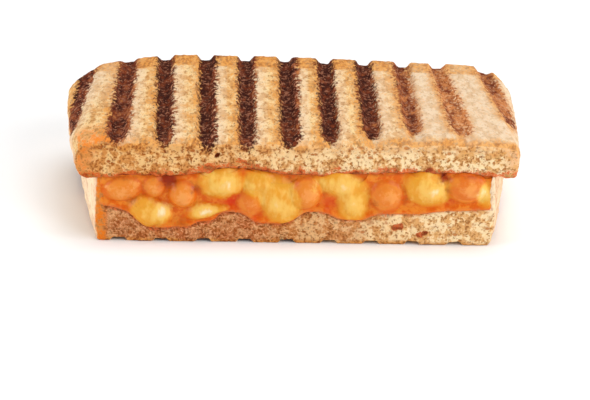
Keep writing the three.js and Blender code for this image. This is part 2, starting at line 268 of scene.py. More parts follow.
class Paint:
    # one material: its shader's fixed values, its tones by name as sRGB from 0 to 255, and its nodes
    def __init__(self, name, shader, tones):
        self.material = bpy.data.materials.new(name)
        self.material.use_nodes = True
        self.tree = self.material.node_tree
        self.shader = self.tree.nodes["Principled BSDF"]
        self.tones = tones
        for socket, value in shader.items():
            self.shader.inputs[socket].default_value = value
        # Object coordinates in millimetres
        spot = self.node("ShaderNodeTexCoord", {}, {}, "Object")
        self.spot = self.node("ShaderNodeVectorMath", {"operation": "SCALE"}, {0: spot, "Scale": 1.0 / mm})

    def node(self, kind, settings, inputs, output=0):
        # a new node with its settings; each input takes a wire or a constant
        made = self.tree.nodes.new(kind)
        for setting, value in settings.items():
            setattr(made, setting, value)
        for socket, value in inputs.items():
            if isinstance(value, Wire):
                self.tree.links.new(value.socket, made.inputs[socket])
            else:
                made.inputs[socket].default_value = value
        return Wire(self, made.outputs[output])

    def field(self, name):
        # the number that the mesh has at each point under that name
        return self.node("ShaderNodeAttribute", {"attribute_name": name}, {}, "Fac")

    def stretched(self, x, y, z):
        # the coordinates times these: a pattern is drawn out along an axis where the factor is below 1
        return self.node("ShaderNodeVectorMath", {"operation": "MULTIPLY"}, {0: self.spot, 1: (x, y, z)})

    def noise(self, perMm, detail, roughness, at=None):
        # clouds round 0.5, each about 1 / perMm across
        inputs = {"Vector": at or self.spot, "Scale": perMm, "Detail": detail, "Roughness": roughness}
        return self.node("ShaderNodeTexNoise", {}, inputs, "Fac")

    def cells(self, perMm, at=None):
        # how far the nearest of many scattered points is
        return self.node("ShaderNodeTexVoronoi", {}, {"Vector": at or self.spot, "Scale": perMm}, "Distance")

    def rise(self, value, start, end):
        # 0 at start, 1 at end, and an S-curve between; start may be the larger one
        if start > end:
            return 1.0 - self.rise(value, end, start)
        inputs = {"Value": value, "From Min": start, "From Max": end}
        return self.node("ShaderNodeMapRange", {"interpolation_type": "SMOOTHSTEP"}, inputs)

    def tone(self, colour):
        # a wire as it is, and a tone's name as the linear colour that a socket takes
        if isinstance(colour, Wire):
            return colour
        shares = [part / 255.0 for part in self.tones[colour]]
        linear = [part / 12.92 if part <= 0.04045 else ((part + 0.055) / 1.055) ** 2.4 for part in shares]
        return (*linear, 1.0)

    def blend(self, share, first, second):
        # colours are tones by name, or wires
        inputs = {0: share, 6: self.tone(first), 7: self.tone(second)}
        return self.node("ShaderNodeMix", {"data_type": "RGBA"}, inputs, 2)

    def finish(self, colour, roughness=None, height=None, heightMm=0.0):
        # joins what varies over the surface to the shader
        varying = {"Base Color": colour, "Roughness": roughness}
        if height is not None:
            inputs = {"Height": height, "Distance": heightMm * mm, "Strength": 1.0}
            varying["Normal"] = self.node("ShaderNodeBump", {}, inputs)
        for socket, wire in varying.items():
            if wire is not None:
                self.tree.links.new(wire.socket, self.shader.inputs[socket])
        return self.material


# The bread. Sizes are those of the solids: each slice is narrowest at the cut and flares towards the
# back, where its corners are round, and the grill presses grooves from front to back.

grill = {
    "pitch": 11.6, "middle": -1.9, "floorHalf": 1.4, "wall": 1.2, "topDepth": 1.7, "underDepth": 1.0,
    "cutShare": 0.4, "fade": 9.0, "leanFront": -27.0, "leanBack": 25.0,
}

# The slices. The last two lines of each are its grid: the steps and crowding of its depth and height,
# the rings of its far face, and whether its near face is the top or the underside
topBread = {
    "endLeft": -58.1, "endRight": 60.2, "flareLeft": 4.7, "flareRight": 2.7, "frontY": -31.0, "backY": 31.8,
    "cornerLeft": 11.5, "cornerRight": 12.0, "turnLeft": 18.0, "turnRight": 28.0,
    "thickness": 11.0, "cutEdge": 1.2, "crustEdge": 3.6,
    "bulgeLeft": 1.9, "bulgeRight": 0.9, "bulgeBack": 0.9,
    "deepSteps": (88, 0.55), "upSteps": (40, 0.3), "near": 1.0,
    "rings": [0.995, 0.985, 0.965, 0.93, 0.87, 0.77, 0.62, 0.43, 0.2],
}

bottomBread = {
    "endLeft": -54.1, "endRight": 54.6, "flareLeft": 7.0, "flareRight": 6.8, "frontY": -30.6, "backY": 31.0,
    "cornerLeft": 10.5, "cornerRight": 11.0, "turnLeft": 18.0, "turnRight": 28.0,
    "thickness": 19.0, "cutEdge": 0.7, "crustEdge": 2.4,
    "bulgeLeft": 0.5, "bulgeRight": 0.5, "bulgeBack": 0.5,
    "deepSteps": (60, 0.45), "upSteps": (60, 0.3), "near": -1.0,
    "rings": [0.995, 0.985, 0.965, 0.955, 0.945, 0.93, 0.9, 0.84, 0.74, 0.55, 0.3],
}

longSteps = 420       # the steps along a slice
halfLength = 60.0     # about half the toastie's length, over which its levels rise
rim = {"top": 0.7, "slope": 1.5, "backTop": 3.0, "backSlope": 4.0, "clear": 0.35, "lap": 0.3}
crownShape = {
    "height": 30.4, "dome": 1.5, "slump": 2.1, "slumpGroove": 0.7, "lightGroove": 0.55,
    "lift": 0.9, "droop": 3.0, "droopHalf": 65.0,
}
ceilingShape = {
    "height": 20.4, "rise": 0.9, "inside": 0.9, "insideReach": 45.0, "edges": 0.7, "edgeHalf": 58.0,
}
ceilingHills = rows("x reach height", [(-16.0, 9.5, 2.2), (36.0, 22.0, 0.9)])
hollowShape = {"height": 10.2, "rise": 0.8, "wave": 0.35}
hollowHills = rows("x reach height", [(-55.0, 7.0, 2.4), (56.0, 12.0, 0.9)])

# Where the filling sags into the lower slice at the cut
sags = rows("x reach height", [
    (-36.3, 7.5, 5.2), (-25.8, 5.0, 3.2), (-6.0, 7.2, 3.8), (15.7, 6.0, 2.5), (30.0, 7.5, 0.8),
])

# What a user may change on the bread
breadLook = {
    "crumbPit": 0.55,        # how deep the crumb's pores are at the cut
    "crumbRough": 0.34,      # the cut crumb's fine unevenness
    "crumbWave": 0.35,       # its slow unevenness
    "toastGrain": 0.16,      # the grain on the grilled faces
    "toastWave": 0.12,       # their slow unevenness
    "torn": 0.9,             # how ragged the upper slice's lower edge is at the cut
    "crustWave": 0.5,        # the slow unevenness of the crust round the ends and back
    "crustWrinkle": 0.38,    # its wrinkles
    "crustDimple": 0.45,     # how deep its dimples are
    "grooveWobble": 0.35,    # how far a groove's walls wander
    "grooveFloor": 1.0,      # half the width of a groove's floor, and how wide its walls are
    "grooveWall": 1.8,
    "edgeDroop": 0.8,        # how far the grilled face bends down at the cut, and over what depth
    "edgeDepth": 4.5,
    "holeDepth": 0.9,        # how deep the dark hole is
}

# How far the outer grooves lie off the even pitch at the back and at the front, by their number
grooveLean = {-5: (1.3, -2.7), -4: (0.8, -0.4), 4: (-1.4, 1.7), 5: (0.7, 6.3)}

# The burnt stripes, left to right: where the middle runs at the back and at the front, the half width
# there, how far forward the stripe reaches, and how burnt it is
stripes = rows("back front halfBack halfFront end burn", [
    (-59.1, -63.6, 2.2, 1.9, -16.0, 0.85),
    (-47.5, -48.7, 2.7, 3.3, -29.6, 0.80),
    (-36.8, -35.7, 2.5, 2.5, -30.9, 0.97),
    (-24.3, -24.1, 2.6, 2.4, -32.5, 1.0),
    (-13.2, -13.3, 2.7, 2.4, -32.0, 0.92),
    (-1.0, -1.5, 2.8, 2.8, -31.0, 1.0),
    (9.8, 9.3, 2.5, 2.6, -28.0, 0.97),
    (21.0, 20.8, 2.5, 2.7, -25.0, 0.92),
    (31.8, 32.6, 2.3, 2.5, -22.0, 0.56),
    (43.1, 46.2, 2.1, 3.3, -24.0, 0.34),
    (57.0, 62.4, 2.2, 2.2, -12.0, 0.50),
])

# Marks at the cut, in its plane: the dark hole in the upper slice, where the stain along that slice is
# thick, the left end of the streak of sauce above it with its slant, and the lower slice's brown holes
topMarks = {
    "hole": (-21.6, 26.2), "holeSlant": 0.4, "thickStains": (-45.0, -33.0, -9.5, 3.5, 16.0, 24.0, 34.0),
    "streak": (-16.5, 25.2), "streakSlant": -0.32,
}
brownHoles = rows("x z size", [(28.6, 5.6, 1.4), (34.6, 3.2, 0.9), (36.2, 3.7, 0.8)])


def nearCut(y, reach):
    # 1 at the cut, fading out towards the back
    return hill(y, topBread["frontY"], reach)


def fromCut(y):
    # 0 at the cut, 1 at the back
    return (y - topBread["frontY"]) / (topBread["backY"] - topBread["frontY"])


def hillsAt(hills, x, power=2):
    # the sum of bells of those heights
    return sum(each["height"] * hill(x, each["x"], each["reach"], power) for each in hills)


def alongGroove(y):
    # 0 at the front of the grooves and stripes, 1 at their back
    return held((y - grill["leanFront"]) / (grill["leanBack"] - grill["leanFront"]))


def grooveShare(x, y, floorHalf, wall, lean):
    # 1 on the floor of a groove, 0 on the ridge between two grooves; a groove's middle is the pitch
    # times its number, moved by its lean
    share = alongGroove(y)
    off = np.full(len(x), grill["pitch"])
    for number in range(-5, 6):
        atBack, atFront = lean.get(number, (0.0, 0.0))
        middle = grill["middle"] + grill["pitch"] * number + mix(atFront, atBack, share)
        off = np.minimum(off, np.abs(x - middle))
    return ramp(floorHalf + wall, floorHalf, off)


def slumpShare(x, y):
    # how far into the upper slice's slumped back left corner a place is
    return fromCut(y) * ramp(32.0, 54.0, -x)


def crown(x, y):
    # the upper slice's top at its ridges: domed at the back left but for the slumped corner, and
    # raised at the front right
    back = fromCut(y)
    dome = crownShape["dome"] * back * ramp(50.0, -10.0, x) - crownShape["slump"] * slumpShare(x, y)
    lift = crownShape["lift"] * (1.0 - back) * ramp(0.0, halfLength, x)
    ends = crownShape["droop"] * (np.abs(x) / crownShape["droopHalf"]) ** 10
    return crownShape["height"] + dome + lift - ends


def ceiling(x, y):
    # the upper slice's underside, pushed up where cheese and beans lie thickest
    inside = ceilingShape["inside"] * hill(x, 0.0, ceilingShape["insideReach"])
    level = ceilingShape["height"] + ceilingShape["rise"] * x / halfLength
    ends = ceilingShape["edges"] * (np.abs(x) / ceilingShape["edgeHalf"]) ** 6
    return level + mix(inside, hillsAt(ceilingHills, x), nearCut(y, 14.0)) - ends


def hollow(x, y):
    # the lower slice's inner face, away from its raised edge
    wave = hollowShape["wave"] * np.sin(0.19 * x + 1.1) * np.sin(0.16 * (y - topBread["frontY"]))
    level = hollowShape["height"] + hollowShape["rise"] * x / halfLength
    return level + hillsAt(hollowHills, x) + wave - hillsAt(sags, x, 4) * nearCut(y, 7.0)


def roundedShares(box, size, radiusAt):
    # box points from -1 to 1, with the box's edges rounded: each point is held inside a core that is
    # smaller by the radius, then pushed out from it by the radius
    half = np.array(size) / 2.0
    points = box * half
    radius = radiusAt((box[:, 1] + 1.0) / 2.0)[:, None]
    core = np.clip(points, radius - half, half - radius)
    away = points - core
    away *= radius / np.linalg.norm(away, axis=1, keepdims=True)
    rounded = (core + away) / half
    return rounded[:, 0], (rounded[:, 1] + 1.0) / 2.0, (rounded[:, 2] + 1.0) / 2.0


def breadPlan(bread, across, deep):
    # the outline from above: y falls back at the corners, x flares out towards the back
    left = across < 0.0
    flare = np.where(left, -bread["flareLeft"], bread["flareRight"])
    corner = np.where(left, bread["cornerLeft"], bread["cornerRight"])
    turn = np.where(left, bread["turnLeft"], bread["turnRight"])
    y = mix(bread["frontY"], bread["backY"] - corner * np.abs(across) ** turn, deep)
    straight = mix(bread["endLeft"], bread["endRight"], (across + 1.0) / 2.0)
    return straight + flare * np.sin(deep * np.pi / 2.0) * np.abs(across) ** 9, y


def sliceSurface(bread, low, high):
    # a slice between two surfaces, low and high, whose ends and back bulge a little; with its outward
    # directions, and 1 where it is cut, which is where it faces forwards
    box, quads, fan = boxSurface(
        spots(longSteps), spots(*bread["deepSteps"]), -spots(*bread["upSteps"]), bread["rings"])
    size = (bread["endRight"] - bread["endLeft"], bread["backY"] - bread["frontY"], bread["thickness"])
    across, deep, up = roundedShares(
        box * (1.0, 1.0, bread["near"]), size,
        lambda share: mix(bread["cutEdge"], bread["crustEdge"], ramp(0.02, 0.4, share)))
    x, y = breadPlan(bread, across, deep)
    z = mix(low(x, y), high(x, y, across, deep), up)
    belly = 1.0 - (2.0 * up - 1.0) ** 2
    endBulge = np.where(across < 0.0, -bread["bulgeLeft"], bread["bulgeRight"])
    x = x + endBulge * belly * np.abs(across) ** 20
    surface = facingOut(place(x, y + bread["bulgeBack"] * belly * deep ** 12, z), quads, fan)
    out = outward(*surface)
    return surface, out, ramp(0.35, 0.7, -out[:, 1])


def rimShare(bread, across, deep):
    # how much of the raised edge's height the lower slice has, from the distance to its walls
    fromEnd = (1.0 - np.abs(across)) * (bread["endRight"] - bread["endLeft"]) / 2.0
    fromBack = (1.0 - deep) * (bread["backY"] - bread["frontY"])
    end = ramp(rim["top"] + rim["slope"], rim["top"], fromEnd)
    return np.maximum(end, ramp(rim["backTop"] + rim["backSlope"], rim["backTop"], fromBack))


def stripeField(x, y):
    # how far each point lies outside the nearest burnt stripe, in mm, how burnt that stripe is, and how
    # far to its right the point lies; a stripe is a band whose front end is half an ellipse
    nearest = np.full(len(x), 50.0)
    burn = np.zeros(len(x))
    right = np.zeros(len(x))
    share = alongGroove(y)
    for stripe in stripes:
        half = mix(stripe["halfFront"], stripe["halfBack"], share)
        middle = mix(stripe["front"], stripe["back"], share)
        ahead = np.maximum(0.0, stripe["end"] + 2.0 * half - y) / 2.0
        away = np.hypot(x - middle, ahead) - half
        closer = away < nearest
        nearest = np.where(closer, away, nearest)
        burn = np.where(closer, stripe["burn"], burn)
        right = np.where(closer, x - middle, right)
    return nearest, burn, right


def crumbRelief(points, cut):
    # how far the crumb stands out at the cut, in mm: slow and fine unevenness, less its pores
    slow = breadLook["crumbWave"] * noise(points, 6.0, 11, 2)
    fine = breadLook["crumbRough"] * noise(points, 1.9, 21, 3)
    small = pits(points, 1.9, 0.3, 0.62, 31, 0.6)
    large = pits(points, 5.0, 0.6, 1.3, 41, 0.4)
    pore = np.maximum(small * 0.8, large)
    return cut * (slow + fine - breadLook["crumbPit"] * pore), cut * pore


def crustRelief(points, side):
    # slow waves, wrinkles that run along the crust, small blisters and sparse dimples
    waves = noise(points, 10.0, 55, 2)
    wrinkles = noise(points * (0.35, 0.35, 1.3), 1.6, 51, 3) + 0.8 * noise(points, 2.6, 61, 2)
    dimples = pits(points, 3.4, 0.4, 1.1, 65, 0.45)
    fine = breadLook["crustWrinkle"] * wrinkles - breadLook["crustDimple"] * dimples
    return side * (breadLook["crustWave"] * waves + fine)


def wallPale(x, y, side, seed, base):
    # how pale the crust is: browner at the back, paler in clouds towards the ends, most at the left
    ends = ramp(34.0, 55.0, np.abs(x) + 7.0 * noise(place(x, y, 0.0), 9.0, seed, 3))
    return side * mix(base, mix(1.0, 0.7, ramp(0.0, 30.0, x)), ends)


def topHigh(x, y, across, deep):
    # the crown, less the bend at the cut and the grooves; those are shallower near the cut, in the
    # slumped corner, and at the front right, where the grill hardly burnt
    front = topBread["frontY"]
    wobble = breadLook["grooveWobble"] * noise(place(x * 0.3, y, 0.0), 2.4, 71, 3)
    press = mix(grill["cutShare"], 1.0, ramp(front, front + grill["fade"], y))
    press *= 1.0 - crownShape["slumpGroove"] * slumpShare(x, y)
    press *= 1.0 - crownShape["lightGroove"] * ramp(26.0, 40.0, x) * ramp(24.0, 4.0, y)
    bend = breadLook["edgeDroop"] * ramp(front + breadLook["edgeDepth"], front, y)
    groove = grooveShare(x + wobble, y, breadLook["grooveFloor"], breadLook["grooveWall"], grooveLean)
    return crown(x, y) - bend - grill["topDepth"] * press * groove


def topSlicePiece(finish):
    # the upper slice, from its underside to its grilled top, moved outwards by its relief
    (points, quads, fan), out, cut = sliceSurface(topBread, ceiling, topHigh)
    x, y, z = points.T
    fromCrown = crown(x, y) - z
    height = z - ceiling(x, y)
    top = ramp(4.4, 3.0, fromCrown) * (1.0 - cut)
    under = ramp(0.3, 0.8, -out[:, 2])
    side = held(1.0 - cut - top - under)

    relief, pore = crumbRelief(points, cut)
    grain = breadLook["toastGrain"] * noise(points, 0.9, 81, 2)
    grain += breadLook["toastWave"] * noise(points, 3.5, 91, 2)
    specks = pits(points, 3.2, 0.25, 0.5, 101, 0.4) * top
    torn = hill(height, 0.0, 1.6) * cut * breadLook["torn"] * noise(points, 1.7, 111, 3)
    relief = relief + torn + top * (grain - 0.25 * specks) + crustRelief(points, side)
    holeX, holeZ = topMarks["hole"]
    fromHole = np.hypot((x - holeX) / 1.1, z - holeZ - topMarks["holeSlant"] * (x - holeX))
    hole = cut * ramp(1.0, 0.4, fromHole + 0.35 * noise(points, 0.9, 115, 2))
    relief = relief - breadLook["holeDepth"] * hole
    points = points + out * relief[:, None]
    edgeNoise = noise(points, 2.6, 121, 3)

    # the stripes run on over the front edge: there the way down counts as way forward
    overFront = ramp(-29.0, -30.6, y)
    away, burn, right = stripeField(x, y - overFront * np.maximum(0.0, fromCrown - 1.3))
    overBack = 1.0 - ramp(27.5, 31.0, y) * ramp(0.6, 0.1, out[:, 2])
    striped = top + side * ramp(25.0, 29.0, y) * 0.8 + cut * ramp(4.6, 3.4, fromCrown)

    # sauce along the lower edge of the cut, thick in places, and the slanting streak above it
    thick = sum(hill(x, each, 4.0) for each in topMarks["thickStains"])
    patchy = mix(0.72, 1.0, held(thick + 0.6 * noise(points, 4.5, 131, 2)))
    streakX, streakZ = topMarks["streak"]
    slope = z - (streakZ + topMarks["streakSlant"] * (x - streakX)) + 0.5 * edgeNoise
    streak = hill(slope, 0.0, 0.75) * ramp(-18.5, -15.0, x) * ramp(-3.0, -6.5, x)
    below = ramp(0.5, -0.5, slope) * hill(x, -12.0, 7.0)

    # where it is golden: the front edge, the back, the left sides of the stripes, a halo round the
    # right ones, and the rim of the crust
    frontEdge = ramp(5.2, 1.4, fromCrown + 1.8 * edgeNoise) * ramp(-29.6, -30.8, y)
    fromFront = y + 1.6 * edgeNoise - 1.3 * ramp(10.0, 40.0, x)
    frontBand = top * ramp(-26.5, -30.2, fromFront) * mix(0.6, 1.0, ramp(10.0, 40.0, x))
    atBack = ramp(20.6, 21.8, y + 0.6 * edgeNoise)
    backBand = atBack * (top + side) * mix(1.0, 0.6, ramp(12.0, 45.0, x))
    goldSide = top * hill(away, 0.0, 2.1) * ramp(0.5, -0.5, right) * 0.75
    halo = top * hill(away, 0.2, 1.5) * ramp(8.0, 34.0, x)
    rimBrown = (side + 0.4 * top) * ramp(2.8, 4.4, fromCrown + 1.2 * edgeNoise) * ramp(6.6, 4.6, fromCrown)
    edges = np.maximum(frontBand, frontEdge * mix(0.95, 0.7, ramp(-50.0, -25.0, x)))

    # where it is pale: the right half of the top, the end walls, and painted sheen right of the stripes
    paleTop = top * ramp(14.0, 44.0, x) * mix(0.2, 1.0, ramp(-30.5, -26.5, fromFront))
    paleTop *= 1.0 - 0.6 * np.maximum(halo, atBack)
    paleTop += 0.45 * top * hill(x, -53.0, 5.0) * ramp(-12.0, 8.0, y)
    sheenSide = top * hill(away, 0.2, 2.6) * ramp(-0.5, 0.5, right) * (1.0 - atBack)

    # where it is orange: the corners of the cut and of the top; and where the filling soaks it below
    cornerLeft = ramp(-52.0, -57.5, x + edgeNoise) * cut
    cornerTop = ramp(-40.0, -56.0, x) * ramp(-16.0, -26.0, y) * top * ramp(0.3, 0.7, out[:, 2])
    filled = 52.0 + 6.0 * np.sin(held(fromCut(y)) * np.pi / 2.0)
    overFilling = ramp(filled + 0.5, filled - 1.5, np.abs(x)) * ramp(29.0, 27.0, y)
    fields = {
        "stripeAway": away,
        "stripeRight": right,
        "burn": burn * striped * overBack,
        "cut": cut,
        "pore": np.maximum(pore, specks * 0.7),
        "hole": hole,
        "toast": held(edges + backBand + goldSide + 0.6 * halo + 0.8 * rimBrown),
        "crust": side,
        "stain": cut * np.maximum(ramp(2.8, 0.6, height + 2.2 * edgeNoise) * patchy, 0.75 * streak),
        "orange": held(cornerLeft + cornerTop + cut * (ramp(55.0, 60.0, x) * 0.55 + below * 0.6)),
        "soakAndShade": under * overFilling,
        "pale": held(paleTop + 0.75 * sheenSide + wallPale(x, y, side, 135, 0.15)),
        "creamy": cut * ramp(-45.0, 40.0, x),
    }
    makePiece("topBread", (points, quads, fan), finish, "top_slice", fields)


def lowerLow(x, y):
    # the underside: even, shallow grooves
    return grill["underDepth"] * grooveShare(x, y, grill["floorHalf"], grill["wall"], {})


def lowerHigh(x, y, across, deep):
    # the hollow that holds the filling, and the raised edge, which reaches up to the upper slice
    rimTop = ceiling(x, y) + mix(-rim["clear"], rim["lap"], nearCut(y, 3.0))
    ragged = 0.35 * noise(place(x, y, 0.0), 2.2, 141, 3) * nearCut(y, 6.0)
    return mix(hollow(x, y) + ragged, rimTop, rimShare(bottomBread, across, deep))


def lowerSlicePiece(finish):
    # the lower slice, from its grooved underside to its hollow, moved outwards by its relief
    (points, quads, fan), out, cut = sliceSurface(bottomBread, lowerLow, lowerHigh)
    x, y, z = points.T
    under = ramp(0.25, 0.6, -out[:, 2]) * (1.0 - cut)
    inner = ramp(0.3, 0.8, out[:, 2])
    side = held(1.0 - cut - under - inner)

    relief, pore = crumbRelief(points, cut)
    hole = np.zeros(len(points))
    ragged = 0.5 * noise(points, 1.1, 145, 3)
    for spot in brownHoles:
        away = np.hypot((x - spot["x"]) / 1.25, z - spot["z"]) / spot["size"] + ragged
        hole = np.maximum(hole, held(1.0 - away ** 2) * cut)
    grain = breadLook["toastGrain"] * noise(points, 0.9, 151, 2)
    relief = relief - 0.35 * hole + under * grain + crustRelief(points, side)
    # what it stands on stays flat
    relief = np.where(z < 0.4, np.minimum(relief, 0.0), relief)
    points = points + out * relief[:, None]

    away, burn, right = stripeField(x, y)
    edgeNoise = noise(points, 2.6, 161, 3)
    across = 2.0 * (x - bottomBread["endLeft"]) / (bottomBread["endRight"] - bottomBread["endLeft"]) - 1.0
    insideRim = 1.0 - rimShare(bottomBread, np.clip(across, -1.0, 1.0), np.zeros_like(x))
    wet = ramp(1.5, 0.2, hollow(x, y) - z + edgeNoise) * cut * insideRim
    # darker towards the left of the cut: partly soaked, partly painted shade under the upper slice's overhang
    soakedAndShaded = mix(1.0, 0.45, ramp(-12.0, 2.0, x + 5.0 * edgeNoise)) * ramp(26.0, 14.0, x + 4.0 * edgeNoise)
    soakedAndShaded *= ramp(-53.4, -51.6, x) * (0.75 + 0.25 * edgeNoise)
    rimBrown = side * np.maximum(ramp(2.6, 0.6, z + 0.8 * edgeNoise), ramp(-2.2, -0.4, z - ceiling(x, y)))
    onRim = ramp(0.5, 0.9, (z - hollow(x, y)) / (ceiling(x, y) - hollow(x, y)))
    paleEnd = cut * ramp(52.0, 53.5, x) * ramp(9.0, 12.0, z)
    fields = {
        "stripeAway": away,
        "stripeRight": right,
        "burn": burn * under,
        "cut": cut,
        "pore": pore,
        "hole": np.zeros_like(hole),     # none is dark here
        "toast": held(ramp(2.0, 0.3, z + 0.5 * edgeNoise) * cut + under * 0.6 + rimBrown),
        "crust": side,
        "stain": np.maximum(wet * 0.4, ramp(0.0, 0.5, hole)),
        "orange": ramp(-51.0, -52.6, x) * cut * 1.8,
        "soakAndShade": held(inner * (1.0 - onRim) + cut * soakedAndShaded + 0.55 * wet),
        "pale": held(paleEnd + wallPale(x, y, side, 165, 0.3)),
        "creamy": cut * ramp(-10.0, 45.0, x),
    }
    makePiece("lowerBread", (points, quads, fan), finish, "bottom_slice", fields)


breadShader = {
    "Subsurface Weight": 0.06,
    "Subsurface Scale": 0.4 * mm,
    "Subsurface Radius": (1.0, 0.6, 0.3),
    "Specular IOR Level": 0.1,
}

breadTones = {
    "ridge": (212, 156, 94),
    "ridgeLight": (238, 204, 148),
    "paleRidge": (216, 182, 144),
    "paleRidgeLight": (230, 204, 172),
    "golden": (222, 152, 72),
    "deepGold": (184, 106, 42),
    "speck": (172, 114, 58),
    "crumb": (212, 142, 74),
    "crumbLight": (240, 194, 130),
    "crumbCream": (250, 222, 174),
    "pore": (166, 84, 28),
    "porePale": (194, 122, 62),
    "hole": (104, 34, 12),
    "soakedAndShaded": (188, 104, 60),
    "soakedLight": (224, 160, 118),
    "soakedDark": (136, 60, 30),
    "crust": (216, 158, 96),
    "crustDeep": (190, 116, 52),
    "rimPale": (250, 224, 190),
    "orange": (230, 124, 34),
    "scorch": (200, 126, 72),
    "scorchSpeck": (224, 174, 128),
    "charSpeck": (182, 118, 88),
    "charRed": (122, 52, 24),
    "char": (56, 16, 6),
    "stain": (214, 96, 34),
    "stainDark": (146, 36, 2),
}


def toastedBreadFinish():
    # grilled faces, crust, crumb, burnt stripes and stains, each laid over the last where its field is
    paint = Paint("toastedBread", breadShader, breadTones)
    blend = paint.blend
    rise = paint.rise
    # the patterns are drawn out from front to back
    drawn = paint.stretched(1.0, 0.5, 1.0)
    fine = paint.noise(1.5, 3.0, 0.65, drawn)
    grain = paint.noise(0.75, 4.0, 0.7, drawn)
    blotch = paint.noise(0.36, 3.0, 0.6, drawn)
    patch = paint.noise(0.16, 3.0, 0.5)
    teeth = paint.noise(0.9, 3.0, 0.65, paint.stretched(0.9, 0.9, 1.0))
    mottle = 0.5 * grain + 0.5 * fine
    clouds = 0.4 * patch + 0.35 * blotch + 0.25 * grain
    cut = paint.field("cut")
    pale = paint.field("pale")
    toast = paint.field("toast")
    creamy = paint.field("creamy")
    soakAndShade = paint.field("soakAndShade")
    orange = paint.field("orange")

    # the grilled faces: beige ridges with soft blotches, golden where the grill came close
    blotchy = rise(0.45 * blotch + 0.3 * grain + 0.25 * teeth, 0.45, 0.55)
    ridge = blend(pale, blend(blotchy, "ridge", "ridgeLight"), blend(blotchy, "paleRidge", "paleRidgeLight"))
    gold = blend(rise(mottle, 0.42, 0.58), "deepGold", "golden")
    toasted = rise(toast + 1.2 * (patch - 0.5) + 5.0 * (mottle - 0.5), 0.1, 1.0) * (1.0 - 0.55 * pale)
    ridge = blend(toasted * 0.85, ridge, gold)
    ridge = blend(rise(mottle, 0.44, 0.38) * (0.65 - 0.4 * pale), ridge, "speck")

    # the crust: clouds of brown, pale towards the ends, with golden rims and specks
    wall = blend(rise(clouds, 0.42, 0.56), "crustDeep", "crust")
    wall = blend(pale * (0.85 + 2.6 * (clouds - 0.5)), wall, "rimPale")
    wall = blend(rise(toast + 4.0 * (mottle - 0.5), 0.2, 1.0) * (0.8 - 0.4 * pale), wall, gold)
    wall = blend(rise(mottle, 0.44, 0.36) * (0.5 - 0.3 * pale), wall, "speck")
    ridge = blend(paint.field("crust"), ridge, wall)

    # the crumb at the cut: broad cream and tan patches; soaked, toasted and in painted shade in places
    light = blend(creamy, "crumbLight", "crumbCream")
    middle = blend(creamy * 0.6, "crumb", "crumbLight")
    crumb = blend(rise(0.5 * blotch + 0.5 * grain, 0.46, 0.54), middle, light)
    soakedAndShaded = blend(rise(mottle, 0.42, 0.52), "soakedDark", "soakedAndShaded")
    soakedAndShaded = blend(rise(mottle, 0.53, 0.62), soakedAndShaded, "soakedLight")
    # the soaked tone is also the painted shade on the lower crumb's left, under the overhang
    crumb = blend(soakAndShade * 0.92, crumb, soakedAndShaded)
    crumb = blend(toasted * 0.8 * toast, crumb, gold)
    crumb = blend(pale * 0.8, crumb, "rimPale")

    # its brown pores of three sizes, and the dark hole
    specks = rise(0.6 * grain + 0.4 * fine, 0.45, 0.38)
    small = rise(paint.cells(0.75), 0.36, 0.16) * rise(grain, 0.46, 0.56)
    wide = rise(paint.cells(0.36, paint.stretched(0.8, 1.0, 1.1)), 0.26, 0.12) * rise(blotch, 0.44, 0.54)
    dark = (specks * 0.95).most(small * 0.7).most(wide * 0.9).most(paint.field("pore") * 0.75)
    dark = dark * (1.0 - 0.6 * pale) * (1.0 - 0.4 * soakAndShade) * (1.0 - 0.4 * orange)
    crumb = blend(dark, crumb, blend(creamy, "pore", "porePale"))
    crumb = blend(rise(paint.field("hole"), 0.05, 0.6), crumb, "hole")
    inCut = rise(cut + 2.0 * (mottle - 0.5), 0.25, 0.75)
    colour = blend(inCut, ridge, crumb)
    colour = blend(soakAndShade * (1.0 - inCut) * 0.9, colour, soakedAndShaded)
    inOrange = orange * rise(0.6 * grain + 0.4 * blotch, 0.42, 0.58)
    colour = blend(inOrange * (0.85 - 0.6 * dark), colour, "orange")

    # the burnt stripes: ragged edges, a right side lightened as painted sheen, brown flecks, and lighter
    # specks
    burn = paint.field("burn")
    edge = paint.field("stripeAway") + 4.0 * (teeth - 0.5) + 3.0 * (grain - 0.5) + 1.6 * (fine - 0.5)
    burnt = rise(edge, 0.8, -0.6) * rise(burn, 0.05, 0.35)
    deepBurn = rise(burn, 0.3, 0.7)
    # painted sheen along the right side of each stripe
    sheenRight = rise(paint.field("stripeRight") + 3.6 * (teeth - 0.5), 0.6, 2.6)
    wild = 2.4 * (blotch - 0.5) + 3.4 * (grain - 0.5) + 1.6 * (teeth - 0.5)
    darkness = burn + (1.0 - 0.35 * burn) * wild - 0.25 * sheenRight
    char = blend(rise(darkness, 0.15, 0.6), "scorch", "charRed")
    char = blend(rise(darkness, 0.5, 1.0) * deepBurn, char, "char")
    char = blend(rise(mottle, 0.47, 0.40) * (0.9 - 0.7 * burn), char, "charRed")
    # lighter specks, partly painted glints on the charred fibres, more on the sheen side
    specksAndGlints = rise(0.5 * teeth + 0.5 * fine, 0.50, 0.59) * (0.65 + 0.35 * sheenRight)
    char = blend(specksAndGlints, char, blend(deepBurn, "scorchSpeck", "charSpeck"))
    colour = blend(burnt, colour, char)

    # sauce has soaked into the crumb along its edges, in spots
    soakedIn = paint.field("stain")
    stain = rise(soakedIn + 4.4 * (mottle - 0.5), 0.25, 0.85) * rise(soakedIn, 0.05, 0.3)
    stainDepth = 0.5 * grain + 0.5 * blotch - 0.12 * soakedIn
    colour = blend(stain * 0.9, colour, blend(rise(stainDepth, 0.43, 0.34), "stain", "stainDark"))

